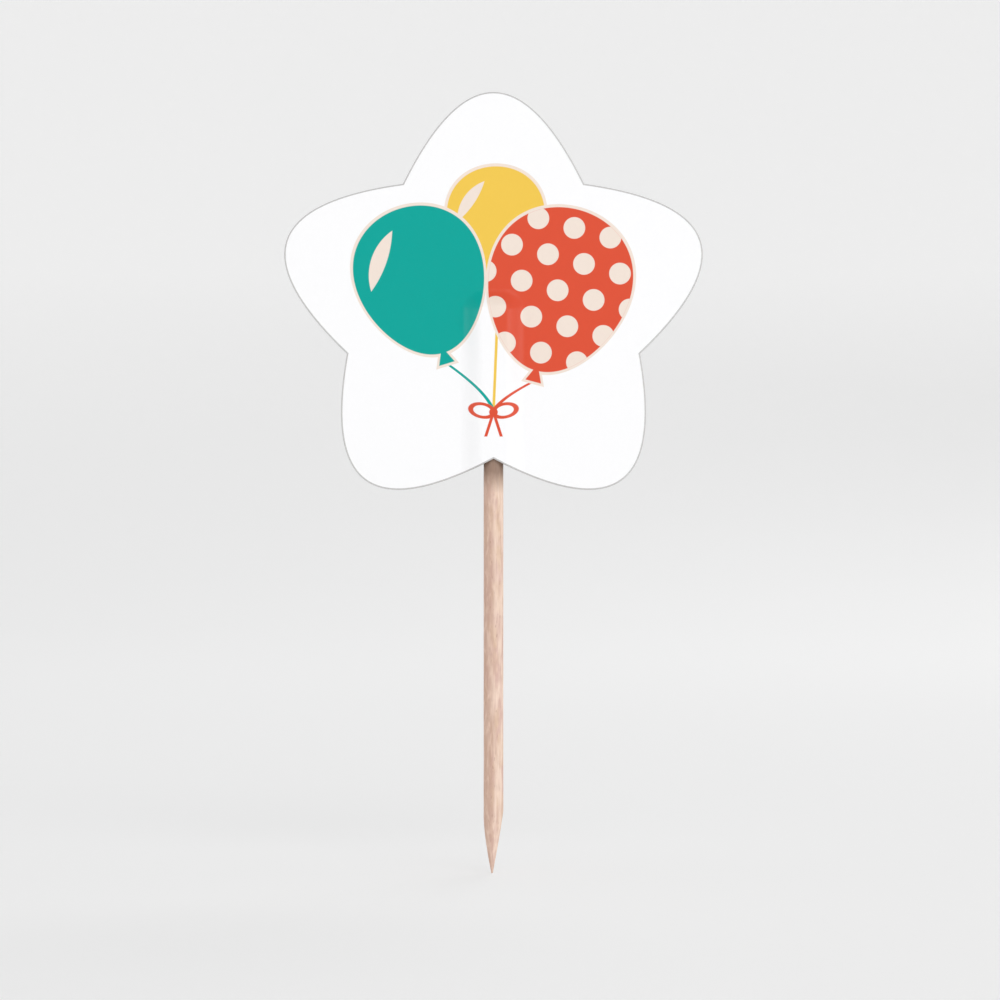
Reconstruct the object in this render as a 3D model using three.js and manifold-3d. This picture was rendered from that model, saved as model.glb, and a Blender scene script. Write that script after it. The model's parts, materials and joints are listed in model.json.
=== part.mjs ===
// A cupcake pick: a star of two cards, stuck back to back round the top of a wooden stick.
// Millimetres, +Z up the stick, the front of the star faces -Y, and the origin is the
// stick's point.
import * as THREE from "three";
import { mergeVertices } from "three/addons/utils/BufferGeometryUtils.js";
import Module from "manifold-3d";

const wasm = await Module();
wasm.setup();

// Driving dimensions of the stick
const STICK_DIAMETER = 2.3;
const STICK_LENGTH = 65;
const POINT_LENGTH = 7.2;
const POINT_TIP_DIAMETER = 0.2;
// The point's bulge, as a power: 1 is a straight cone, 2 a full bullet
const POINT_FULLNESS = 1.35;
const STICK_END_CHAMFER = 0.2;

// Driving dimensions of the star
const STAR_LOBES = 5;
const STAR_TIP_RADIUS = 24.8;
const STAR_NOTCH_RADIUS = 17.55;
// The star is this many times as wide as a regular one of the same height
const STAR_WIDENING = 1.0135;
// Length of stick that lies between the cards, from the bottom notch up
const STICK_COVERED = 17.15;

// Driving dimensions of the layers
const CARD_THICKNESS = 0.32;
const ADHESIVE_THICKNESS = 0.08;
// The adhesive stops this far inside the cards' cut edge
const ADHESIVE_INSET = 0.2;
// Hairline between two layers that lie on each other
const LAYER_GAP = 0.02;
// Room between the stick and the adhesive round it
const STICK_CLEARANCE = 0.05;
// Distance over which the cards come down from the stick to meet each other
const BOND_REACH = 2.6;

// Fineness of the faceted curves
const LOBE_SEGMENTS = 24;
const SLOPE_STEPS = 8;
const STRAIGHT_STEPS = 6;
const STICK_SIDES = 24;
const POINT_STEPS = 10;

// Distances of the layers' inner faces from the middle plane, where the star is flat
const ADHESIVE_FACE = LAYER_GAP / 2;
const CARD_FACE = ADHESIVE_FACE + ADHESIVE_THICKNESS + LAYER_GAP;
const CARD_OUTSIDE = CARD_FACE + CARD_THICKNESS;

// The ridge that the stick raises in both cards: its crest covers the stick
const STICK_RADIUS = STICK_DIAMETER / 2;
const CREST_HALF_WIDTH = STICK_RADIUS + STICK_CLEARANCE;
const CREST_TOP = STICK_LENGTH + STICK_CLEARANCE;
const CREST_RISE = STICK_RADIUS + STICK_CLEARANCE - ADHESIVE_FACE;

// The bottom notch is where the stick comes out
const NOTCH_HEIGHT = STICK_LENGTH - STICK_COVERED;
const STAR_CENTRE_HEIGHT = NOTCH_HEIGHT + STAR_NOTCH_RADIUS;

const FRONT = -1;
const BACK = 1;

// One lobe is a parabola from notch to notch, drawn as a single quadratic curve whose
// control point stands as far outside the tip as the chord of the notches lies inside it.
function starShape(inset) {
  const tipRadius = STAR_TIP_RADIUS - inset;
  const notchRadius = STAR_NOTCH_RADIUS - inset;
  const halfAngle = Math.PI / STAR_LOBES;
  const controlRadius = 2 * tipRadius - notchRadius * Math.cos(halfAngle);
  const bottom = -Math.PI / 2;
  const shape = new THREE.Shape();
  shape.moveTo(notchRadius * Math.cos(bottom), notchRadius * Math.sin(bottom));
  for (let lobe = 0; lobe < STAR_LOBES; lobe += 1) {
    const tipAngle = bottom + (2 * lobe + 1) * halfAngle;
    const notchAngle = tipAngle + halfAngle;
    shape.quadraticCurveTo(
      controlRadius * Math.cos(tipAngle),
      controlRadius * Math.sin(tipAngle),
      notchRadius * Math.cos(notchAngle),
      notchRadius * Math.sin(notchAngle),
    );
  }
  return shape;
}

// The star's outline as a tall upright prism, to cut a layer with
function starCutter(inset) {
  const depth = 4 * (CREST_RISE + CARD_OUTSIDE);
  const prism = new THREE.ExtrudeGeometry(starShape(inset), {
    depth,
    bevelEnabled: false,
    curveSegments: LOBE_SEGMENTS,
  });
  prism.rotateX(Math.PI / 2);
  prism.scale(STAR_WIDENING, 1, 1);
  prism.translate(0, depth / 2, STAR_CENTRE_HEIGHT);
  return prism;
}

// How far a layer is lifted from the middle plane at a place on the star
function ridgeRise(x, z) {
  const beside = Math.max(Math.abs(x) - CREST_HALF_WIDTH, 0);
  const beyond = Math.max(z - CREST_TOP, 0);
  const fall = THREE.MathUtils.smoothstep(Math.hypot(beside, beyond), 0, BOND_REACH);
  return CREST_RISE * (1 - fall);
}

// Evenly spaced places from start to end, both included
function spaced(start, end, steps) {
  return Array.from({ length: steps + 1 }, (_, step) => start + ((end - start) * step) / steps);
}

function stationsAcross() {
  const edge = 2 * STAR_TIP_RADIUS;
  const slope = spaced(CREST_HALF_WIDTH, CREST_HALF_WIDTH + BOND_REACH, SLOPE_STEPS);
  const mirrored = slope.map((x) => -x).reverse();
  return [-edge, ...mirrored, ...slope, edge];
}

function stationsAlong() {
  const straight = spaced(STAR_CENTRE_HEIGHT - 2 * STAR_TIP_RADIUS, CREST_TOP, STRAIGHT_STEPS);
  const runOut = spaced(CREST_TOP, CREST_TOP + BOND_REACH, SLOPE_STEPS);
  return [...straight, ...runOut.slice(1), STAR_CENTRE_HEIGHT + 2 * STAR_TIP_RADIUS];
}

// A rectangle of one layer with the ridge in it, larger than the star all round.
// side is FRONT or BACK; innerFace is the layer's inner face from the middle plane.
function ridgedSheet(side, innerFace, thickness) {
  const across = stationsAcross();
  const along = stationsAlong();
  const positions = [];
  for (const face of [innerFace, innerFace + thickness]) {
    for (const z of along) {
      for (const x of across) {
        positions.push(x, side * (face + ridgeRise(x, z)), z);
      }
    }
  }

  const indices = [];
  const inner = (column, row) => row * across.length + column;
  const outer = (column, row) => inner(column, row) + across.length * along.length;
  const quad = (a, b, c, d) => {
    if (side === FRONT) {
      indices.push(a, b, c, a, c, d);
    } else {
      indices.push(a, c, b, a, d, c);
    }
  };
  const lastColumn = across.length - 1;
  const lastRow = along.length - 1;
  for (let row = 0; row < lastRow; row += 1) {
    for (let column = 0; column < lastColumn; column += 1) {
      const corners = [
        [column, row],
        [column + 1, row],
        [column + 1, row + 1],
        [column, row + 1],
      ];
      quad(...corners.map((corner) => outer(...corner)));
      quad(...corners.reverse().map((corner) => inner(...corner)));
    }
  }

  const wall = (start, end) => {
    quad(outer(...start), inner(...start), inner(...end), outer(...end));
  };
  for (let column = 0; column < lastColumn; column += 1) {
    wall([column, 0], [column + 1, 0]);
    wall([column + 1, lastRow], [column, lastRow]);
  }
  for (let row = 0; row < lastRow; row += 1) {
    wall([lastColumn, row], [lastColumn, row + 1]);
    wall([0, row + 1], [0, row]);
  }

  const geometry = new THREE.BufferGeometry();
  geometry.setAttribute("position", new THREE.Float32BufferAttribute(positions, 3));
  geometry.setIndex(indices);
  return geometry;
}

function toSolid(geometry) {
  const bare = geometry.clone();
  bare.deleteAttribute("normal");
  bare.deleteAttribute("uv");
  const merged = mergeVertices(bare);
  return new wasm.Manifold(
    new wasm.Mesh({
      numProp: 3,
      vertProperties: new Float32Array(merged.attributes.position.array),
      triVerts: new Uint32Array(merged.index.array),
    }),
  );
}

function toGeometry(solid) {
  const { vertProperties, triVerts } = solid.getMesh();
  const geometry = new THREE.BufferGeometry();
  geometry.setAttribute("position", new THREE.BufferAttribute(vertProperties, 3));
  geometry.setIndex(new THREE.BufferAttribute(triVerts, 1));
  geometry.computeVertexNormals();
  return geometry;
}

// A layer of the star: the ridged sheet, cut to the star's outline
function starLayer(side, innerFace, thickness, inset) {
  const sheet = toSolid(ridgedSheet(side, innerFace, thickness));
  return toGeometry(sheet.intersect(toSolid(starCutter(inset))));
}

function card(side) {
  return starLayer(side, CARD_FACE, CARD_THICKNESS, 0);
}

function adhesive(side) {
  return starLayer(side, ADHESIVE_FACE, ADHESIVE_THICKNESS, ADHESIVE_INSET);
}

// A round stick with a slightly bulging point and a small chamfer at its square end
function stick() {
  const tipRadius = POINT_TIP_DIAMETER / 2;
  const profile = [new THREE.Vector2(0, 0)];
  for (const along of spaced(0, 1, POINT_STEPS)) {
    const swell = 1 - (1 - along) ** POINT_FULLNESS;
    profile.push(
      new THREE.Vector2(tipRadius + (STICK_RADIUS - tipRadius) * swell, POINT_LENGTH * along),
    );
  }
  profile.push(
    new THREE.Vector2(STICK_RADIUS, STICK_LENGTH - STICK_END_CHAMFER),
    new THREE.Vector2(STICK_RADIUS - STICK_END_CHAMFER, STICK_LENGTH),
    new THREE.Vector2(0, STICK_LENGTH),
  );
  return new THREE.LatheGeometry(profile, STICK_SIDES).rotateX(Math.PI / 2);
}

const whiteCard = new THREE.MeshStandardMaterial({
  color: "#fbfaf7",
  roughness: 0.6,
  metalness: 0,
});
const clearAdhesive = new THREE.MeshStandardMaterial({
  color: "#e9e6dc",
  roughness: 0.3,
  metalness: 0,
});
const paleWood = new THREE.MeshStandardMaterial({
  color: "#e3c3ae",
  roughness: 0.7,
  metalness: 0,
});

function piece(name, geometry, material) {
  const mesh = new THREE.Mesh(geometry, material);
  mesh.name = name;
  return mesh;
}

const pick = new THREE.Group();
pick.add(
  piece("front_card", card(FRONT), whiteCard),
  piece("front_adhesive", adhesive(FRONT), clearAdhesive),
  piece("pick_stick", stick(), paleWood),
  piece("back_adhesive", adhesive(BACK), clearAdhesive),
  piece("back_card", card(BACK), whiteCard),
);

export default pick;
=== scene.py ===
# %% [markdown]
# # A cupcake pick
# A cupcake pick is a small paper star on a wooden stick. Two self-adhesive cards are
# stuck back to back round the top of the stick, and the point goes into the cake.
#
# The construction was settled first, as solids at their real size. This lesson dresses
# them: every layer is modelled again with a finer surface, at exactly the same place,
# and gets the finish of printed card, plain card, clear adhesive or pale wood.
#
# We load the solids first, and read their sizes and places off them.

# %% Load the frame
import json
import math

import bpy
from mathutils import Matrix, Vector

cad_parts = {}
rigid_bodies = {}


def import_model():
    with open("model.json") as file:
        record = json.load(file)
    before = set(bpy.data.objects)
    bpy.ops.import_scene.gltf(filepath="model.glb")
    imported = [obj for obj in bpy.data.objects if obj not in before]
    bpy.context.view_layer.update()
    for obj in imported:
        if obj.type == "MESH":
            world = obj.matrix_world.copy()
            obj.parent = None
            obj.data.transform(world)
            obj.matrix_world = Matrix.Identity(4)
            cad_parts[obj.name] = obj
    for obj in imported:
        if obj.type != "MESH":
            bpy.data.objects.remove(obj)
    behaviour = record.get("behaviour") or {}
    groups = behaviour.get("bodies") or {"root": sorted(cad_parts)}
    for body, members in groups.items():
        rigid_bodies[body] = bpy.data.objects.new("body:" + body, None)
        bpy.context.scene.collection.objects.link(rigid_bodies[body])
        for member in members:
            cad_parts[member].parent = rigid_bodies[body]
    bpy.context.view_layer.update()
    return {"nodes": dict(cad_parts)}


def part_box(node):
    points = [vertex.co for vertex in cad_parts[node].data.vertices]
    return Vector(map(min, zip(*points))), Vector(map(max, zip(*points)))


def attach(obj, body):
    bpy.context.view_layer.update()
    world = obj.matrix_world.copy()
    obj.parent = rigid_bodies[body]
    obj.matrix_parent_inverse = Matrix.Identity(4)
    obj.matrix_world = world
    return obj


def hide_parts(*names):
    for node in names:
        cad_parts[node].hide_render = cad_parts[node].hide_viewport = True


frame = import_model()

# %% [markdown]
# ## Sizes
# Blender works in metres, and this object is only 90 mm high, so a millimetre is given a
# name. The heights and thicknesses are read off the solids. Only what a box can't tell is
# written here: the star's two radii and how much it is widened, the slope of the ridge
# that the stick raises in the cards, and the stick's point.

# %% Sizes in metres
MM = 0.001
STAR_LOBES = 5
STAR_TIP_RADIUS = 24.8 * MM
STAR_NOTCH_RADIUS = 17.55 * MM
STAR_WIDENING = 1.0135
ADHESIVE_INSET = 0.2 * MM
STICK_CLEARANCE = 0.05 * MM
BOND_REACH = 2.6 * MM
POINT_LENGTH = 7.2 * MM
POINT_TIP_RADIUS = 0.1 * MM
POINT_FULLNESS = 1.35

FRONT, BACK = -1, 1
_, stick_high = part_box("pick_stick")
_, star_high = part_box("front_card")
STICK_RADIUS = stick_high.x
STICK_TOP = stick_high.z
CREST_HALF_WIDTH = STICK_RADIUS + STICK_CLEARANCE
CREST_TOP = STICK_TOP + STICK_CLEARANCE
STAR_CENTRE = Vector((0, 0, star_high.z - STAR_TIP_RADIUS))
NOTCH_HEIGHT = STAR_CENTRE.z - STAR_NOTCH_RADIUS
print("Stick radius and length, mm:", round(STICK_RADIUS / MM, 3), round(STICK_TOP / MM, 2))
print("Star's centre and notch, mm up:", round(STAR_CENTRE.z / MM, 2), round(NOTCH_HEIGHT / MM, 2))

# %% Where each layer lies
def layer_faces(node):
    """The layer's flat inner and outer distance from the middle plane, and its ridge's rise."""
    corners = frame["nodes"][node].data.vertices
    flat = [abs(v.co.y) for v in corners if v.co.z > CREST_TOP + BOND_REACH]
    low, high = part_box(node)
    inner, outer = min(flat), max(flat)
    return inner, outer, max(-low.y, high.y) - outer


for node in ("front_card", "front_adhesive", "back_adhesive", "back_card"):
    print(node, "inner, outer, rise, mm:", [round(size / MM, 3) for size in layer_faces(node)])

# %% [markdown]
# ## The camera
# The photograph looks straight at the front of the star from some way off, so there is
# hardly any perspective. A long lens does the same. The picture is square, and the scale
# of the photograph is 0.1155 mm to a pixel, so the frame is 115.5 mm wide at the stick.

# %% Camera
FRAME_WIDTH = 115.5 * MM
SENSOR = 36
LENS = 135
AIM = Vector((0.75 * MM, 0, 43.1 * MM))
NEAREST_SEEN = 10 * MM

camera_data = bpy.data.cameras.new("camera")
camera_data.sensor_width = SENSOR
camera_data.lens = LENS
camera_data.clip_start = NEAREST_SEEN
camera = bpy.data.objects.new("camera", camera_data)
bpy.context.collection.objects.link(camera)
camera.location = AIM - Vector((0, FRAME_WIDTH * LENS / SENSOR, 0))
camera.rotation_euler = (math.radians(90), 0, 0)
bpy.context.scene.camera = camera
print("Camera, mm in front of the stick:", round(-camera.location.y / MM, 1))

# %% [markdown]
# ## Tools for modelling
# Operators act on whatever is selected, so each step starts from a clean selection. Points
# are picked by their place, with a small tolerance, and faces mostly by the way they face:
# within 60 degrees of a direction.

# %% Selecting and editing
NEAR = 0.001 * MM
FACING = math.cos(math.radians(60))


def edit():
    bpy.ops.object.mode_set(mode="EDIT")


def stop_editing():
    bpy.ops.object.mode_set(mode="OBJECT")


def select_none():
    for item in bpy.context.view_layer.objects:
        item.select_set(False)


def take(piece):
    """Makes a piece the only selected one, and the one that operators act on."""
    select_none()
    piece.select_set(True)
    bpy.context.view_layer.objects.active = piece


def new_piece(name, add, **where):
    """Adds a primitive by itself, names it and puts its place in its mesh."""
    select_none()
    add(**where)
    piece = bpy.context.object
    piece.name = piece.data.name = name
    bpy.ops.object.transform_apply(location=True, rotation=True, scale=True)
    return piece


def pick(piece, kind, wanted):
    """Selects the vertices, edges or faces ("vertices", "edges", "polygons") that are wanted."""
    take(piece)
    edit()
    mode = {"vertices": "VERT", "edges": "EDGE", "polygons": "FACE"}[kind]
    bpy.ops.mesh.select_mode(type=mode)
    bpy.ops.mesh.select_all(action="DESELECT")
    stop_editing()
    for item in getattr(piece.data, kind):
        item.select = wanted(item)
    edit()
    bpy.ops.mesh.select_mode(type=mode)


def modify(piece, kind, **settings):
    """Adds a modifier with its settings and applies it."""
    modifier = piece.modifiers.new(kind.lower(), kind)
    for name, value in settings.items():
        setattr(modifier, name, value)
    take(piece)
    bpy.ops.object.modifier_apply(modifier=modifier.name)


def describe(piece):
    size = [round(side / MM, 2) for side in piece.dimensions]
    print(f"{piece.name}: {len(piece.data.polygons)} faces, {size} mm")

# %% [markdown]
# ## The cutting die
# A card star is stamped out with a steel rule bent to its outline. Each lobe is a parabola
# from notch to notch. We could draw it as a curve, but a ring of points shows the idea
# better: start from a circle through the notches, and push each group of matching points
# outwards by the parabola's radius at their angle. Two points of every lobe match, one on
# each side, so one resize moves ten points at once and all the lobes stay alike. The star
# in the photograph is a touch wider than a regular one, so the ring is widened at the end.

# %% A lobed star, stamped through
POINTS_PER_LOBE = 60
CUTTER_DEPTH = 12 * MM


def lobe_radius(turn, tip_radius, notch_radius):
    """Radius of the outline at an angle from the lobe's middle."""
    half = math.pi / STAR_LOBES
    if turn == 0:
        return tip_radius
    height = tip_radius - notch_radius * math.cos(half)
    bend = height * (math.sin(turn) / (notch_radius * math.sin(half))) ** 2
    slope = math.cos(turn)
    return (math.sqrt(slope * slope + 4 * bend * tip_radius) - slope) / (2 * bend)


def turn_from_lobe(place):
    """The angle between a place on the star and the middle of the nearest lobe."""
    whole = 2 * math.pi / STAR_LOBES
    angle = math.atan2(place.z - STAR_CENTRE.z, place.x) - math.pi / 2
    return abs((angle + whole / 2) % whole - whole / 2)


def star_cutter(inset):
    cutter = new_piece(
        "star_cutter",
        bpy.ops.mesh.primitive_circle_add,
        vertices=STAR_LOBES * POINTS_PER_LOBE,
        radius=STAR_NOTCH_RADIUS,
        fill_type="NOTHING",
        location=STAR_CENTRE - Vector((0, CUTTER_DEPTH / 2, 0)),
        rotation=(math.radians(90), 0, 0),
    )
    step = 2 * math.pi / (STAR_LOBES * POINTS_PER_LOBE)
    for place in range(POINTS_PER_LOBE // 2 + 1):
        turn = place * step
        radius = lobe_radius(turn, STAR_TIP_RADIUS - inset, STAR_NOTCH_RADIUS - inset)
        scale = radius / STAR_NOTCH_RADIUS
        pick(cutter, "vertices", lambda v: abs(turn_from_lobe(v.co) - turn) < step / 4)
        bpy.ops.transform.resize(value=(scale, 1, scale), center_override=STAR_CENTRE)
        stop_editing()
    pick(cutter, "vertices", lambda v: True)
    bpy.ops.transform.resize(value=(STAR_WIDENING, 1, 1), center_override=STAR_CENTRE)
    bpy.ops.mesh.edge_face_add()
    bpy.ops.mesh.extrude_region_move(TRANSFORM_OT_translate={"value": (0, CUTTER_DEPTH, 0)})
    bpy.ops.mesh.select_all(action="SELECT")
    bpy.ops.mesh.normals_make_consistent(inside=False)
    stop_editing()
    return cutter


# %% [markdown]
# ## A card with a ridge in it
# Where the cards meet round the stick, they are lifted into a smooth ridge. It could be
# sculpted or displaced, but proportional editing does exactly what the cards do: the crest
# is pulled away from the middle plane, and what lies within reach follows it, less and
# less. The smooth falloff starts and ends level, as bent card does.
#
# The plane is bisected first, so that the ridge has cuts where it curves and none where it
# is straight or flat. Then the sheet gets its thickness, and the star is stamped out of it.

# %% The ridged sheet
SHEET_SIZE = 2.4 * STAR_TIP_RADIUS
SLOPE_CUTS = 16
FOOT = CREST_HALF_WIDTH + BOND_REACH
RIDGE_END = CREST_TOP + BOND_REACH


def bisect(piece, place, normal, wanted=lambda face: True):
    pick(piece, "polygons", wanted)
    bpy.ops.mesh.bisect(plane_co=place, plane_no=normal)
    stop_editing()


def cut_for_ridge(sheet):
    """Cuts the sheet along the ridge's feet, then across its end, then along its slopes."""
    bisect(sheet, (FOOT, 0, 0), (1, 0, 0))
    bisect(sheet, (-FOOT, 0, 0), (1, 0, 0))
    for cut in range(SLOPE_CUTS + 1):
        place = (0, 0, CREST_TOP + BOND_REACH * cut / SLOPE_CUTS)
        bisect(sheet, place, (0, 0, 1), lambda face: abs(face.center.x) < FOOT)
    for cut in range(SLOPE_CUTS):
        for side in (-1, 1):
            place = (side * (CREST_HALF_WIDTH + BOND_REACH * cut / SLOPE_CUTS), 0, 0)
            bisect(
                sheet,
                place,
                (1, 0, 0),
                lambda face: abs(face.center.x) < FOOT and face.center.z < RIDGE_END,
            )


def on_crest(corner):
    return abs(corner.co.x) < CREST_HALF_WIDTH + NEAR and corner.co.z < CREST_TOP + NEAR


def ridged_sheet(name, side, node):
    inner, outer, rise = layer_faces(node)
    sheet = new_piece(
        name,
        bpy.ops.mesh.primitive_plane_add,
        size=SHEET_SIZE,
        location=(0, side * inner, STAR_CENTRE.z),
        rotation=(math.radians(90), 0, 0),
    )
    cut_for_ridge(sheet)
    pick(sheet, "vertices", on_crest)
    bpy.ops.transform.translate(
        value=(0, side * rise, 0),
        use_proportional_edit=True,
        proportional_edit_falloff="SMOOTH",
        proportional_size=BOND_REACH,
    )
    bpy.ops.mesh.select_all(action="SELECT")
    bpy.ops.mesh.extrude_region_move(
        TRANSFORM_OT_translate={"value": (0, side * (outer - inner), 0)}
    )
    bpy.ops.mesh.select_all(action="SELECT")
    bpy.ops.mesh.normals_make_consistent(inside=False)
    stop_editing()
    return sheet


# %% Stamping out the star
def star_layer(name, side, node, inset):
    layer = ridged_sheet(name, side, node)
    cutter = star_cutter(inset)
    modify(layer, "BOOLEAN", operation="INTERSECT", object=cutter, solver="EXACT")
    bpy.data.objects.remove(cutter)
    return layer

# %% [markdown]
# The steel rule presses the card's edge down as it cuts, so the rim is rolled over and its
# coating is gone. That thin rounded line of bare grey board is what outlines a white star
# on a white ground. The rim's edges are those that a face of the outside shares with a
# face of the cut, and a bevel rounds them. The inner rim stays sharp.
#
# Where a cut of the ridge runs out close to a corner of the outline, the two points are
# merged first, because a bevel folds over on itself across an edge shorter than it is wide.
#
# A card needs two materials, so it gets two empty slots here: one for what was cut and
# one for the outside. The bevel's own faces go to the first. At the end, the wide flat
# faces get the say in how the surface is shaded, so that the rim doesn't tint them.

# %% Rolling the cut rim
RIM_ROLL = 0.18 * MM
RIM_SEGMENTS = 4
SMOOTH_BELOW = math.radians(20)
CLOSE = 0.1 * MM
CUT, OUTSIDE = 0, 1


def facing_out(face, side):
    return face.normal.y * side > FACING


def facing_sideways(face):
    return abs(face.normal.y) < FACING


def outer_rim(piece, side):
    faces = piece.data.polygons
    outside = {key for face in faces if facing_out(face, side) for key in face.edge_keys}
    cut = {key for face in faces if facing_sideways(face) for key in face.edge_keys}
    return outside & cut


def split_slots(piece, side):
    for slot in (CUT, OUTSIDE):
        piece.data.materials.append(None)
    pick(piece, "polygons", lambda face: facing_out(face, side))
    piece.active_material_index = OUTSIDE
    bpy.ops.object.material_slot_assign()
    stop_editing()


def join_close_corners(piece):
    pick(piece, "polygons", facing_sideways)
    bpy.ops.mesh.remove_doubles(threshold=CLOSE)
    stop_editing()


def roll_rim(piece, side):
    rim = outer_rim(piece, side)
    pick(piece, "edges", lambda edge: edge.key in rim)
    bpy.ops.mesh.bevel(offset=RIM_ROLL, segments=RIM_SEGMENTS, affect="EDGES", material=CUT)
    stop_editing()


def smooth(piece):
    take(piece)
    bpy.ops.object.shade_smooth_by_angle(angle=SMOOTH_BELOW)
    modify(piece, "WEIGHTED_NORMAL", keep_sharp=True)


def card(name, side, node):
    made = star_layer(name, side, node, 0)
    join_close_corners(made)
    split_slots(made, side)
    roll_rim(made, side)
    smooth(made)
    describe(made)
    return made


front_card = card("front_printed_card", FRONT, "front_card")
back_card = card("back_plain_card", BACK, "back_card")

# %% [markdown]
# The adhesive is the same sheet again, far thinner, and it stops just short of the cut so
# that no glue shows on the rim. It keeps its sharp edges.

# %% The two coats of adhesive
def adhesive(name, side, node):
    made = star_layer(name, side, node, ADHESIVE_INSET)
    smooth(made)
    describe(made)
    return made


front_adhesive = adhesive("front_adhesive_coat", FRONT, "front_adhesive")
back_adhesive = adhesive("back_adhesive_coat", BACK, "back_adhesive")

# %% [markdown]
# ## The stick
# Picks like this are short birch dowels, sharpened on a stone. The dowel starts as a
# cylinder, and the point is drawn out of its lower end in small steps, each one narrower
# by the bullet curve of the grinding. On the stick in the photograph the point leans a
# little to the left, so every step also slides that way.
#
# Wood is never quite round: the shank is cut into short rings, and a soft cloud pattern
# presses it in here and there by a few hundredths of a millimetre. It only ever presses
# inwards, so the stick stays inside its solid.

# %% Turning and sharpening the stick
STICK_SIDES = 64
POINT_STEPS = 22
POINT_LEAN = 0.17 * MM
LEAN_BEND = 3
END_CHAMFER = 0.2 * MM
TIP_ROUNDING = 0.04 * MM
RING_SPACING = 1.25 * MM
CLOUD_SIZE = 2.2 * MM
UNEVENNESS = 0.03 * MM


def point_radius(height):
    """Radius of the sharpened point at a height above its tip."""
    swell = 1 - (1 - height / POINT_LENGTH) ** POINT_FULLNESS
    return POINT_TIP_RADIUS + (STICK_RADIUS - POINT_TIP_RADIUS) * swell


def point_lean(height):
    """How far the point's middle lies to the left there."""
    return -POINT_LEAN * (1 - (height / POINT_LENGTH) ** LEAN_BEND)


def dowel():
    made = new_piece(
        "wooden_stick",
        bpy.ops.mesh.primitive_cylinder_add,
        vertices=STICK_SIDES,
        radius=STICK_RADIUS,
        depth=STICK_TOP - POINT_LENGTH,
        location=(0, 0, (STICK_TOP + POINT_LENGTH) / 2),
    )
    pick(made, "polygons", lambda face: face.normal.z > FACING)
    bpy.ops.mesh.bevel(offset=END_CHAMFER, segments=2, affect="EDGES")
    stop_editing()
    return made


def sharpen(made):
    pick(made, "polygons", lambda face: face.normal.z < -FACING)
    heights = [POINT_LENGTH * (1 - step / POINT_STEPS) for step in range(POINT_STEPS + 1)]
    for above, height in zip(heights, heights[1:]):
        slide = point_lean(height) - point_lean(above)
        bpy.ops.mesh.extrude_region_move(
            TRANSFORM_OT_translate={"value": (slide, 0, height - above)}
        )
        narrower = point_radius(height) / point_radius(above)
        bpy.ops.transform.resize(
            value=(narrower, narrower, 1), center_override=(point_lean(height), 0, height)
        )
    bpy.ops.mesh.bevel(offset=TIP_ROUNDING, segments=3, affect="EDGES")
    stop_editing()


def roughen(made):
    for ring in range(1, int((STICK_TOP - POINT_LENGTH) / RING_SPACING)):
        bisect(made, (0, 0, POINT_LENGTH + ring * RING_SPACING), (0, 0, 1))
    clouds = bpy.data.textures.new("uneven_wood", "CLOUDS")
    clouds.noise_scale = CLOUD_SIZE
    modify(made, "DISPLACE", texture=clouds, strength=UNEVENNESS, mid_level=1.0)


stick = dowel()
sharpen(stick)
roughen(stick)
smooth(stick)
describe(stick)

# %% [markdown]
# ## Tools for finishes
# A finish is a tree of nodes, and most of it is arithmetic on values that change over the
# surface. It would be tedious to wire each sum by hand, so a small class wraps an output
# socket and turns +, -, * and / into Math nodes. A second class holds the tree itself and
# adds any other node, with its settings first and then the values or links of its sockets.

# %% A value that changes over the surface
class Reading:
    """One output socket, with arithmetic."""

    def __init__(self, finish, socket):
        self.finish = finish
        self.socket = socket

    def __add__(self, other):
        return self.finish.maths("ADD", self, other)

    def __radd__(self, other):
        return self.finish.maths("ADD", other, self)

    def __sub__(self, other):
        return self.finish.maths("SUBTRACT", self, other)

    def __rsub__(self, other):
        return self.finish.maths("SUBTRACT", other, self)

    def __mul__(self, other):
        return self.finish.maths("MULTIPLY", self, other)

    def __rmul__(self, other):
        return self.finish.maths("MULTIPLY", other, self)

    def __truediv__(self, other):
        return self.finish.maths("DIVIDE", self, other)

    def __rtruediv__(self, other):
        return self.finish.maths("DIVIDE", other, self)

    def __pow__(self, other):
        return self.finish.maths("POWER", self, other)

    def __neg__(self):
        return self.finish.maths("MULTIPLY", self, -1)

    def __abs__(self):
        return self.finish.maths("ABSOLUTE", self)


# %% A finish and its nodes
MIX_FACTOR, MIX_A, MIX_B, MIX_COLOUR = 0, 6, 7, 2


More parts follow.
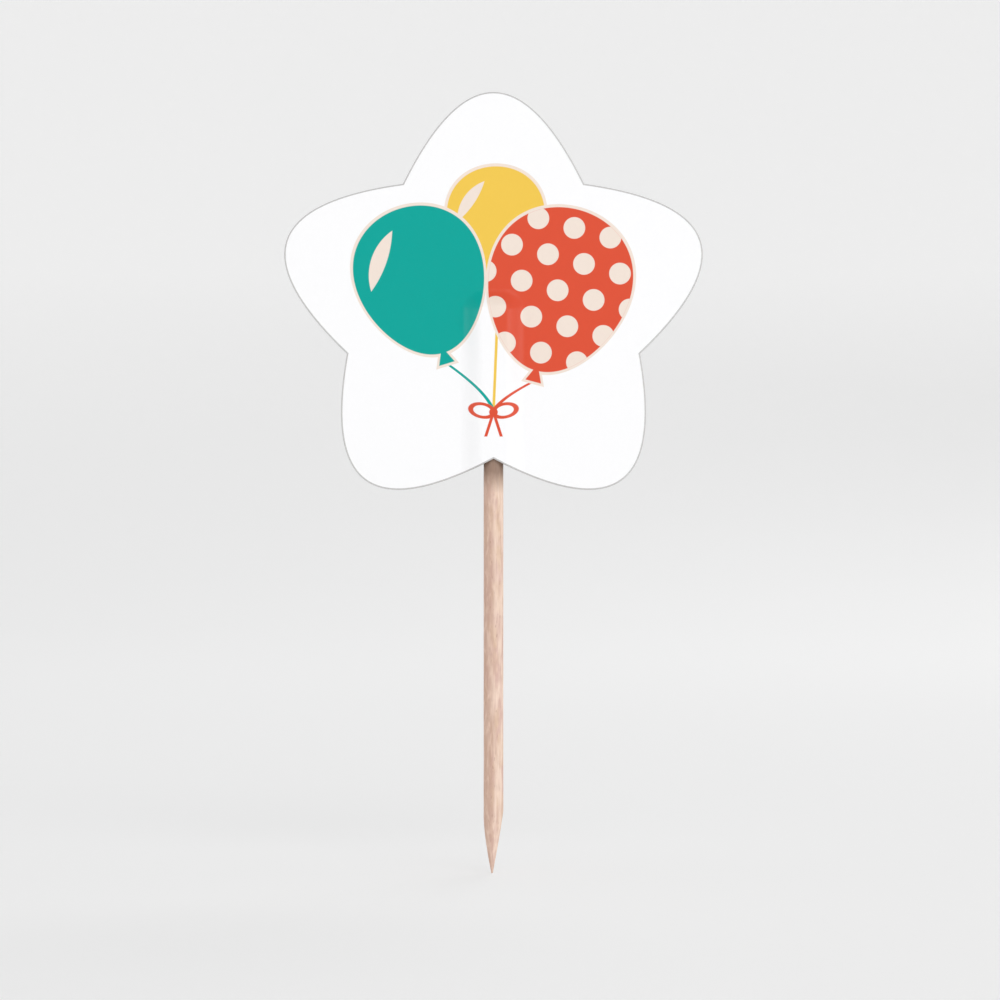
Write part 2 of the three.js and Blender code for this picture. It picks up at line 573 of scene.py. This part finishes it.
class Finish:
    """A material's node tree round one Principled shader."""

    def __init__(self, name, **constants):
        self.material = bpy.data.materials.new(name)
        self.material.use_nodes = True
        self.tree = self.material.node_tree
        self.shader = self.tree.nodes["Principled BSDF"]
        for socket, value in constants.items():
            self.shader.inputs[socket.replace("_", " ")].default_value = value

    def feed(self, socket, value):
        if isinstance(value, Reading):
            self.tree.links.new(value.socket, socket)
        else:
            socket.default_value = value

    def node(self, kind, settings=None, inputs=None, output=0):
        made = self.tree.nodes.new(kind)
        for name, value in (settings or {}).items():
            setattr(made, name, value)
        for name, value in (inputs or {}).items():
            self.feed(made.inputs[name], value)
        return Reading(self, made.outputs[output])

    def maths(self, operation, *values):
        return self.node("ShaderNodeMath", {"operation": operation}, dict(enumerate(values)))

    def colour(self, factor, under, over):
        """The colour under where factor is 0, and the colour over where it is 1."""
        inputs = {MIX_FACTOR: factor, MIX_A: under, MIX_B: over}
        return self.node("ShaderNodeMix", {"data_type": "RGBA"}, inputs, MIX_COLOUR)

    def shade(self, colour, value):
        """A colour made lighter or darker by a value."""
        settings = {"operation": "SCALE"}
        return self.node("ShaderNodeVectorMath", settings, {"Vector": colour, "Scale": value})

    def place(self, centre=(0, 0, 0), turn=0, scale=(MM, MM, MM)):
        """Places in millimetres from a centre, with the axes turned anticlockwise by degrees."""
        where = self.node("ShaderNodeTexCoord").socket.node.outputs["Object"]
        inputs = {
            "Vector": Reading(self, where),
            "Location": centre,
            "Rotation": (0, -math.radians(turn), 0),
            "Scale": scale,
        }
        return self.node("ShaderNodeMapping", {"vector_type": "TEXTURE"}, inputs)

    def axes(self, place):
        """The two readings across and up a place."""
        split = self.node("ShaderNodeSeparateXYZ", None, {"Vector": place}).socket.node
        return Reading(self, split.outputs["X"]), Reading(self, split.outputs["Z"])

    def noise(self, place, scale, detail=2, roughness=0.5, distortion=0):
        inputs = {
            "Vector": place,
            "Scale": scale,
            "Detail": detail,
            "Roughness": roughness,
            "Distortion": distortion,
        }
        return self.node("ShaderNodeTexNoise", None, inputs)

    def spread(self, value, low, high, to_low=0, to_high=1):
        """A value's range from low to high, stretched to another and cut off there."""
        inputs = {
            "Value": value,
            "From Min": low,
            "From Max": high,
            "To Min": to_low,
            "To Max": to_high,
        }
        return self.node("ShaderNodeMapRange", {"clamp": True}, inputs)

    def bump(self, height, distance, under=None):
        """A relief of that height, in metres, on top of another one."""
        inputs = {"Height": height, "Distance": distance, "Strength": 1}
        if under:
            inputs["Normal"] = under
        return self.node("ShaderNodeBump", None, inputs)

    def use(self, **readings):
        """Feeds the shader's own sockets."""
        for socket, value in readings.items():
            self.feed(self.shader.inputs[socket.replace("_", " ")], value)


def linear(part):
    """One part of a picture's colour, 0 to 255, as a share of the light."""
    share = part / 255
    if share < 0.04045:
        return share / 12.92
    return ((share + 0.055) / 1.055) ** 2.4


def srgb(*parts):
    """A colour as a picture stores it, in the linear values that nodes take."""
    return (*(linear(part) for part in parts), 1)

# %% [markdown]
# ## White card
# The board is coated and smooth. Close up, its fibres cloud the coating a little, and its
# surface has the faint tooth of paper. The front, the back and the raw cut edge differ only
# in how much of this shows, so one recipe gives all three.
#
# A noise wanders round 0.5 and seldom leaves the range from 0.3 to 0.7, so that range is
# what gets stretched to the roughness of the smoothest and the roughest spots.

# %% Card
NOISE_RANGE = (0.3, 0.7)
CARD_WHITE = srgb(251, 251, 252)
BOARD_GREY = srgb(203, 202, 201)
FIBRE_SIZE = 0.35
TOOTH_SIZE = 0.06


def card_surface(finish, cloudiness, tooth):
    """The clouding and the relief of paper, from places in millimetres."""
    place = finish.place()
    clouds = finish.noise(place, 1 / FIBRE_SIZE, detail=4, roughness=0.65)
    grain = finish.noise(place, 1 / TOOTH_SIZE, detail=2)
    lightness = 1 + (clouds - 0.5) * cloudiness
    relief = finish.bump(clouds * 0.6 + grain * 0.4, tooth)
    return lightness, clouds, relief


def plain_card():
    finish = Finish("plain white card", Specular_IOR_Level=0.4)
    lightness, clouds, relief = card_surface(finish, cloudiness=0.05, tooth=0.012 * MM)
    finish.use(
        Base_Color=finish.shade(CARD_WHITE[:3], lightness),
        Roughness=finish.spread(clouds, *NOISE_RANGE, 0.62, 0.78),
        Normal=relief,
    )
    return finish.material


def cut_edge():
    finish = Finish("cut edge of card", Specular_IOR_Level=0.3)
    lightness, clouds, relief = card_surface(finish, cloudiness=0.35, tooth=0.05 * MM)
    finish.use(
        Base_Color=finish.shade(BOARD_GREY[:3], lightness),
        Roughness=finish.spread(clouds, *NOISE_RANGE, 0.85, 0.95),
        Normal=relief,
    )
    return finish.material

# %% [markdown]
# ## The print
# A bunch of party balloons is printed on the front, in flat inks: teal, coral red, yellow
# and cream. An image could hold it, but formulas stay sharp at any size. Each motif is a
# distance: below zero inside its outline, above zero outside. The ink covers what lies
# inside, with a very slightly soft edge, as ink spreads in paper.
#
# A Mapping node gives each balloon its own axes in millimetres, so a leaning balloon is
# drawn upright and only its axes are turned.

# %% Inks and shapes
TEAL = srgb(0, 165, 154)
CORAL = srgb(222, 83, 56)
YELLOW = srgb(242, 201, 82)
CREAM = srgb(241, 226, 214)
INK_SPREAD = 0.06
KEYLINE = 0.3


def star_place(x, z):
    """A place on the star, in millimetres from its middle, in the frame's metres."""
    return (x * MM, 0, STAR_CENTRE.z + z * MM)


def length(finish, across, up):
    return finish.maths("SQRT", across * across + up * up)


def covered(finish, distance, soft=INK_SPREAD):
    """1 where the distance is below zero, 0 where it is above, with a soft step between."""
    return finish.spread(distance, soft / 2, -soft / 2)


def both(finish, one, other):
    """Inside two shapes at once."""
    return finish.maths("MAXIMUM", one, other)


def either(finish, one, other):
    return finish.maths("MINIMUM", one, other)


# %% One balloon
EGG = 0.16
KNOT_HEIGHT = 1.3
KNOT_OVERLAP = 0.6
KNOT_NECK = 0.35
KNOT_FLARE = 0.45


def balloon(finish, centre, half_width, half_height, lean):
    """The axes of a balloon and the distance from its outline, knot included."""
    across, up = finish.axes(finish.place(star_place(*centre), lean))
    fuller = half_width * (1 + EGG * up / half_height)
    body = (length(finish, across / fuller, up / half_height) - 1) * half_width
    below = -up - half_height
    skirt = abs(across) - (KNOT_NECK + KNOT_FLARE * below)
    knot = both(finish, skirt, both(finish, below - KNOT_HEIGHT, -below - KNOT_OVERLAP))
    return across, up, either(finish, body, knot)


def knot_end(centre, half_height, lean):
    """Where the string leaves the knot, in millimetres from the star's middle."""
    reach = half_height + KNOT_HEIGHT
    turn = math.radians(lean)
    return centre[0] + reach * math.sin(turn), centre[1] - reach * math.cos(turn)


# %% Patterns on the balloons
DOT_RADIUS = 1.25
DOT_SPACING = 4.3

# The highlight's place on a balloon and the radii of its arcs, in parts of the balloon
LEAF_ASIDE, LEAF_RAISED = -0.5, 0.4
LEAF_TILT = 54
UPPER_ARC, LOWER_ARC = 0.85, 1.7
UPPER_BULGE, LOWER_BULGE = 0.17, 0.07


def polka_dots(finish, across, up):
    """The distance from staggered round dots."""
    row_height = DOT_SPACING * math.sqrt(3) / 2
    row = finish.maths("ROUND", up / row_height)
    odd = abs(finish.maths("MODULO", row, 2))
    along = across - odd * (DOT_SPACING / 2)
    beside = along - finish.maths("ROUND", along / DOT_SPACING) * DOT_SPACING
    return length(finish, beside, up - row * row_height) - DOT_RADIUS


def highlight(finish, centre, half_width, half_height, lean):
    """A leaf between two arcs, where light would catch the upper left of a balloon."""
    turn = math.radians(lean)
    aside, raised = LEAF_ASIDE * half_width, LEAF_RAISED * half_height
    middle = (
        centre[0] + aside * math.cos(turn) - raised * math.sin(turn),
        centre[1] + aside * math.sin(turn) + raised * math.cos(turn),
    )
    across, up = finish.axes(finish.place(star_place(*middle), lean + LEAF_TILT))
    above, below = UPPER_ARC * half_width, LOWER_ARC * half_width
    upper = length(finish, across, up + above - UPPER_BULGE * half_width) - above
    lower = length(finish, across, up - below + LOWER_BULGE * half_width) - below
    return both(finish, upper, lower)


# %% Strings and bow
GATHER = (0, -12.2)
STRING_HALF_WIDTH = 0.16
STRING_HIDDEN = 0.3

LOOP_ASIDE, LOOP_RAISED = 1.3, 0.2
LOOP_TILT = 12
LOOP_HALF_LENGTH, LOOP_HALF_HEIGHT = 1.35, 0.75
LOOP_HALF_WIDTH = 0.17
BOW_KNOT_RADIUS = 0.5
TAIL_LENGTH, TAIL_SPLAY = 2.8, 0.9
TAIL_HALF_WIDTH = 0.18


def string(finish, start, bow):
    """The distance from a line that sweeps down to where the strings are gathered."""
    x, z = finish.axes(finish.place(star_place(0, 0)))
    height = start[1] - GATHER[1]
    climb = finish.spread(z, GATHER[1], start[1])
    path = GATHER[0] + (start[0] - GATHER[0]) * climb**bow
    lean = abs(start[0] - GATHER[0]) / height
    aside = abs(x - path) / math.hypot(1, lean) - STRING_HALF_WIDTH
    ends = both(finish, z - start[1] - STRING_HIDDEN, GATHER[1] - z)
    return both(finish, aside, ends)


def ribbon_bow(finish):
    """The distance from two loops, a knot and two tails, the same left and right."""
    x, z = finish.axes(finish.place(star_place(*GATHER)))
    side = abs(x)
    tilt = math.radians(LOOP_TILT)
    over, up = side - LOOP_ASIDE, z - LOOP_RAISED
    along = (over * math.cos(tilt) + up * math.sin(tilt)) / LOOP_HALF_LENGTH
    away = (up * math.cos(tilt) - over * math.sin(tilt)) / LOOP_HALF_HEIGHT
    ring = (length(finish, along, away) - 1) * LOOP_HALF_HEIGHT
    loop = abs(ring) - LOOP_HALF_WIDTH
    knot = length(finish, x, z) - BOW_KNOT_RADIUS
    drop = finish.spread(-z, 0, TAIL_LENGTH)
    strip = abs(side - TAIL_SPLAY * drop) - TAIL_HALF_WIDTH
    tail = both(finish, strip, both(finish, z, -z - TAIL_LENGTH))
    return either(finish, either(finish, loop, knot), tail)

# %% [markdown]
# Inks are laid one over another, the far balloon first. Each has a cream keyline round it,
# which keeps the colours apart where they meet. The ink also changes how the card shines:
# it is a little smoother than bare coating, and the thin varnish over the whole front sinks
# in less where there is ink.

# %% Printed card
ROUGHNESS, SMOOTHED_BY_INK = 0.5, 0.12
VARNISH, MORE_ON_INK = 0.08, 0.14
YELLOW_BALLOON = {"centre": (0.3, 9.6), "half_width": 5.6, "half_height": 6.6, "lean": 2}
TEAL_BALLOON = {"centre": (-8.3, 3.0), "half_width": 7.4, "half_height": 8.7, "lean": 17}
CORAL_BALLOON = {"centre": (7.4, 1.9), "half_width": 8.2, "half_height": 9.6, "lean": -15}


class Print:
    """The inks laid on a card so far: their colour, and how much of the card they cover."""

    def __init__(self, finish, ground):
        self.finish = finish
        self.colour = ground
        self.cover = 0

    def lay(self, ink, distance):
        mask = covered(self.finish, distance)
        self.colour = self.finish.colour(mask, self.colour, ink)
        self.cover = self.finish.maths("MAXIMUM", self.cover, mask)


def lay_strings(finish, inks):
    for facts, ink, bow in (
        (YELLOW_BALLOON, YELLOW, 1.0),
        (TEAL_BALLOON, TEAL, 1.5),
        (CORAL_BALLOON, CORAL, 1.5),
    ):
        start = knot_end(facts["centre"], facts["half_height"], facts["lean"])
        inks.lay(ink, string(finish, start, bow))
    inks.lay(CORAL, ribbon_bow(finish))


def lay_balloons(finish, inks):
    for facts, ink in ((YELLOW_BALLOON, YELLOW), (TEAL_BALLOON, TEAL), (CORAL_BALLOON, CORAL)):
        across, up, outline = balloon(finish, **facts)
        inks.lay(CREAM, outline - KEYLINE)
        inks.lay(ink, outline)
        if ink == CORAL:
            inks.lay(CREAM, both(finish, polka_dots(finish, across, up), outline))
        else:
            inks.lay(CREAM, highlight(finish, **facts))


def printed_card():
    finish = Finish("printed card", Specular_IOR_Level=0.05, Coat_Roughness=0.2)
    lightness, clouds, relief = card_surface(finish, cloudiness=0.03, tooth=0.005 * MM)
    inks = Print(finish, CARD_WHITE)
    lay_strings(finish, inks)
    lay_balloons(finish, inks)
    finish.use(
        Base_Color=finish.shade(inks.colour, lightness),
        Roughness=ROUGHNESS - SMOOTHED_BY_INK * inks.cover + (clouds - 0.5) * 0.1,
        Coat_Weight=VARNISH + MORE_ON_INK * inks.cover,
        Normal=relief,
    )
    return finish.material

# %% [markdown]
# ## Clear adhesive
# The adhesive shows only as a thin glossy line down in the joint. It is a water-clear
# acrylic that has picked up a little dust at the cut.

# %% Adhesive
ACRYLIC = srgb(226, 222, 210)
DUST = srgb(208, 202, 188)
SPECKS_PER_MM = 9


def clear_adhesive():
    finish = Finish("clear adhesive", Specular_IOR_Level=0.5, Subsurface_Weight=0.2)
    specks = finish.noise(finish.place(), SPECKS_PER_MM, detail=3)
    dusty = finish.spread(specks, 0.5, 0.75)
    finish.use(
        Base_Color=finish.colour(dusty, ACRYLIC, DUST),
        Roughness=finish.spread(specks, *NOISE_RANGE, 0.12, 0.35),
        Normal=finish.bump(specks, 0.01 * MM),
    )
    return finish.material

# %% [markdown]
# ## Pale birch
# The stick is birch. Its colour is built from large to small: pink and beige patches with
# paler streaks, a growth ring that crosses the dowel lengthwise, placed on the left side so
# that it doubles as painted shade there, a mottle where the fibres dip in and out of the
# surface, then the fine fibres themselves, and last the small brown flecks where the cutter
# crossed a pore.
# Grain is noise that is squeezed along the stick: the fibres' unit is a seventh of a
# millimetre across it and 3 mm along it.
#
# Just under the cards the wood is darker and smoother, where glue has crept into it; the
# darkening is also painted shade, where the cards would shadow the stick.

# %% Wood
WOOD_LIGHT = srgb(247, 221, 203)
WOOD_BEIGE = srgb(228, 197, 172)
WOOD_PINK = srgb(222, 187, 174)
WOOD_DARK = srgb(192, 156, 138)
WOOD_FLECK = srgb(160, 116, 92)
# The last colour is wood darkened by glue and by painted shade under the cards.
WOOD_GLUED_AND_SHADED = srgb(143, 116, 99)
# The ring's shift puts its dense wood on the stick's left side, as painted shade.
RING_WAVE, RING_WANDER, RING_SHIFT = 1.9, 2.2, -0.95
GLUE_AND_SHADE_FULL, GLUE_AND_SHADE_END = 1.5, 3.9
GLUE_AND_SHADE_UNEVENNESS, GLUE_SMOOTHS = 2, 0.25
FIBRE_RELIEF, PORE_DEPTH = 0.03 * MM, 0.015 * MM


def wood_noise(finish, across, along, **settings):
    """Noise with spots of a size across the stick and along it, in millimetres."""
    place = finish.place(scale=(across * MM, across * MM, along * MM))
    return finish.noise(place, 1, **settings)


def growth_ring_and_left_shade(finish):
    """1 in the dense late wood, placed on the left side as painted shade, 0 in the pale early
    wood.
    """
    across, _ = finish.axes(finish.place())
    wander = wood_noise(finish, 2, 12)
    wave = finish.maths("SINE", across * RING_WAVE + wander * RING_WANDER + RING_SHIFT)
    return finish.spread(wave, 0.75, -0.85)


def glued_and_shaded(finish, streaks):
    """1 close under the notch of the cards, 0 below the uneven end of the glue's creep and of the
    painted shade under the cards.
    """
    _, up = finish.axes(finish.place((0, 0, NOTCH_HEIGHT)))
    uneven = up + (streaks - 0.5) * GLUE_AND_SHADE_UNEVENNESS
    return finish.spread(uneven, -GLUE_AND_SHADE_END, -GLUE_AND_SHADE_FULL)


# %% Tinting the wood
def tint(wood, colour, reading, none_at, full_at, most=1):
    """Mixes a colour into the wood where a reading goes from one level to another."""
    share = wood.finish.spread(reading, none_at, full_at, 0, most)
    return wood.finish.colour(share, wood, colour)


def pale_birch():
    finish = Finish("pale birch", Specular_IOR_Level=0.35)
    fibres = wood_noise(finish, 0.14, 3, detail=4, roughness=0.6)
    streaks = wood_noise(finish, 0.45, 5, detail=3, distortion=0.5)
    patches = wood_noise(finish, 1.2, 2.6)
    mottle = wood_noise(finish, 0.4, 1.3, distortion=0.3)
    pores = wood_noise(finish, 0.2, 0.7, detail=1)
    fleck = finish.spread(pores, 0.68, 0.76)
    soaked_and_shaded = glued_and_shaded(finish, streaks)

    wood = finish.colour(finish.spread(patches, 0.42, 0.58), WOOD_PINK, WOOD_BEIGE)
    wood = tint(wood, WOOD_LIGHT, streaks, none_at=0.4, full_at=0.62)
    # The growth ring lies on the left, so it also paints shade there and the left side is darker.
    wood = tint(wood, WOOD_DARK, growth_ring_and_left_shade(finish), none_at=0, full_at=1, most=0.7)
    wood = tint(wood, WOOD_LIGHT, mottle, none_at=0.5, full_at=0.72, most=0.4)
    wood = tint(wood, WOOD_DARK, mottle, none_at=0.48, full_at=0.3, most=0.22)
    wood = tint(wood, WOOD_DARK, fibres, none_at=0.55, full_at=0.3, most=0.2)
    wood = tint(wood, WOOD_FLECK, fleck, none_at=0, full_at=1, most=0.35)
    # Painted shade under the cards, where they would shadow the stick, mixed with the darkening of
    # glue in the wood.
    wood = tint(wood, WOOD_GLUED_AND_SHADED, soaked_and_shaded, none_at=0, full_at=1, most=0.9)
    grain = finish.bump(fibres, FIBRE_RELIEF)
    finish.use(
        Base_Color=wood,
        Roughness=finish.spread(fibres, *NOISE_RANGE, 0.75, 0.58) - GLUE_SMOOTHS * soaked_and_shaded,
        Normal=finish.bump(1 - fleck, PORE_DEPTH, grain),
    )
    return finish.material

# %% [markdown]
# ## Dressing the pieces
# The cards' empty slots are filled: bare board where they were cut, and print or plain
# coating outside. A card's inside faces the adhesive and is never seen, so it keeps the
# bare board.

# %% Materials on pieces
bare_board = cut_edge()
for piece, outside in ((front_card, printed_card()), (back_card, plain_card())):
    piece.material_slots[CUT].material = bare_board
    piece.material_slots[OUTSIDE].material = outside

acrylic = clear_adhesive()
for coat in (front_adhesive, back_adhesive):
    coat.data.materials.append(acrylic)
stick.data.materials.append(pale_birch())

for piece in (front_card, front_adhesive, stick, back_adhesive, back_card):
    print(piece.name, "wears", [slot.material.name for slot in piece.material_slots])

# %% [markdown]
# Nothing on a pick moves, so every piece rides on the one body. Each one stands for the
# solid of its own layer, and that solid is hidden.

# %% Riding on the frame
for piece, node, slot in (
    (front_card, "front_card", "printed_card"),
    (front_adhesive, "front_adhesive", "adhesive"),
    (stick, "pick_stick", "stick_wood"),
    (back_adhesive, "back_adhesive", "adhesive"),
    (back_card, "back_card", "plain_card"),
):
    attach(piece, "root")
    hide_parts(node)
    print(piece.name, "stands for", node)

# %% [markdown]
# ## The studio
# White card on white is the hardest thing to photograph. The pick stands in a round tent of
# pale paper: a floor that curves up into a wall, modelled as a disc whose rim is extruded
# and widened step by step. The paper is lit from outside too, and more strongly higher up,
# where the lights inside don't reach. So it glows a little, and from any side the
# background is the same soft grey, slightly darker than the card.

# %% A round paper tent
FLOOR_RADIUS = 0.6
COVE_RADIUS = 2.0
WALL_HEIGHT = 0.5
COVE_STEPS = 24
TENT_SIDES = 96
TENT_PAPER = srgb(204, 204, 204)
TENT_GLOW = 0.44
GLOW_AT_FLOOR = srgb(219, 219, 219)
GLOW_ABOVE = srgb(255, 255, 255)
EVENLY_LIT_ABOVE = 150


def paper_tent():
    made = new_piece(
        "paper_tent",
        bpy.ops.mesh.primitive_circle_add,
        vertices=TENT_SIDES,
        radius=FLOOR_RADIUS,
        fill_type="NGON",
    )
    pick(made, "edges", lambda edge: True)
    width = FLOOR_RADIUS
    turns = [math.pi / 2 * step / COVE_STEPS for step in range(COVE_STEPS + 1)]
    for before, turn in zip(turns, turns[1:]):
        rise = COVE_RADIUS * (math.cos(before) - math.cos(turn))
        wider = FLOOR_RADIUS + COVE_RADIUS * math.sin(turn)
        bpy.ops.mesh.extrude_edges_move(TRANSFORM_OT_translate={"value": (0, 0, rise)})
        bpy.ops.transform.resize(
            value=(wider / width, wider / width, 1), center_override=(0, 0, 0)
        )
        width = wider
    bpy.ops.mesh.extrude_edges_move(TRANSFORM_OT_translate={"value": (0, 0, WALL_HEIGHT)})
    stop_editing()
    smooth(made)
    return made


def tent_paper():
    finish = Finish(
        "tent paper",
        Base_Color=TENT_PAPER,
        Roughness=0.9,
        Specular_IOR_Level=0.1,
        Emission_Strength=TENT_GLOW,
    )
    _, up = finish.axes(finish.place())
    rise = finish.spread(up, 0, EVENLY_LIT_ABOVE)
    finish.use(Emission_Color=finish.colour(rise, GLOW_AT_FLOOR, GLOW_ABOVE))
    return finish.material


tent = paper_tent()
tent.data.materials.append(tent_paper())
describe(tent)

# %% [markdown]
# ## Light
# A broad soft light stands high in front and to the right, so the stick is darker on its
# left. Two low, wide boxes stand at the sides, as high as the star. In the varnish the
# slopes of the ridge mirror them, and show as two pale bands on the ink. A grid on each
# keeps its light off the floor close by. One more box lights the plain back.

# %% Lights
BROAD, LOW = (0.5, 0.5), (0.5, 0.15)
GRID_SPREAD = 70
ROOM_LIGHT = 0.45


def softbox(name, azimuth, elevation, distance, size, power, spread=180):
    """An area light that looks at the star. Azimuth 0 is in front, and 90 is to the right."""
    light = bpy.data.lights.new(name, "AREA")
    light.shape = "RECTANGLE"
    light.size, light.size_y = size
    light.energy = power
    light.spread = math.radians(spread)
    box = bpy.data.objects.new(name, light)
    bpy.context.collection.objects.link(box)
    turn, lift = math.radians(azimuth), math.radians(elevation)
    level = Vector((math.sin(turn), -math.cos(turn), 0))
    away = level * math.cos(lift) + Vector((0, 0, math.sin(lift)))
    box.location = STAR_CENTRE + away * distance
    box.rotation_euler = away.to_track_quat("Z", "Y").to_euler()
    box.visible_camera = False
    print(name, "stands", distance, "m away, at", azimuth, "degrees, and gives", power, "W")


softbox("key", 20, 36, distance=0.95, size=BROAD, power=1.5)
softbox("left_box", -52, 2, distance=0.8, size=LOW, power=0.09, spread=GRID_SPREAD)
softbox("right_box", 52, 2, distance=0.8, size=LOW, power=0.12, spread=GRID_SPREAD)
softbox("back_key", 155, 35, distance=0.95, size=BROAD, power=1.6)

world = bpy.data.worlds.new("studio")
world.use_nodes = True
room = world.node_tree.nodes["Background"].inputs
room["Color"].default_value = srgb(255, 255, 255)
room["Strength"].default_value = ROOM_LIGHT
bpy.context.scene.world = world
bpy.context.scene.view_settings.view_transform = "Standard"
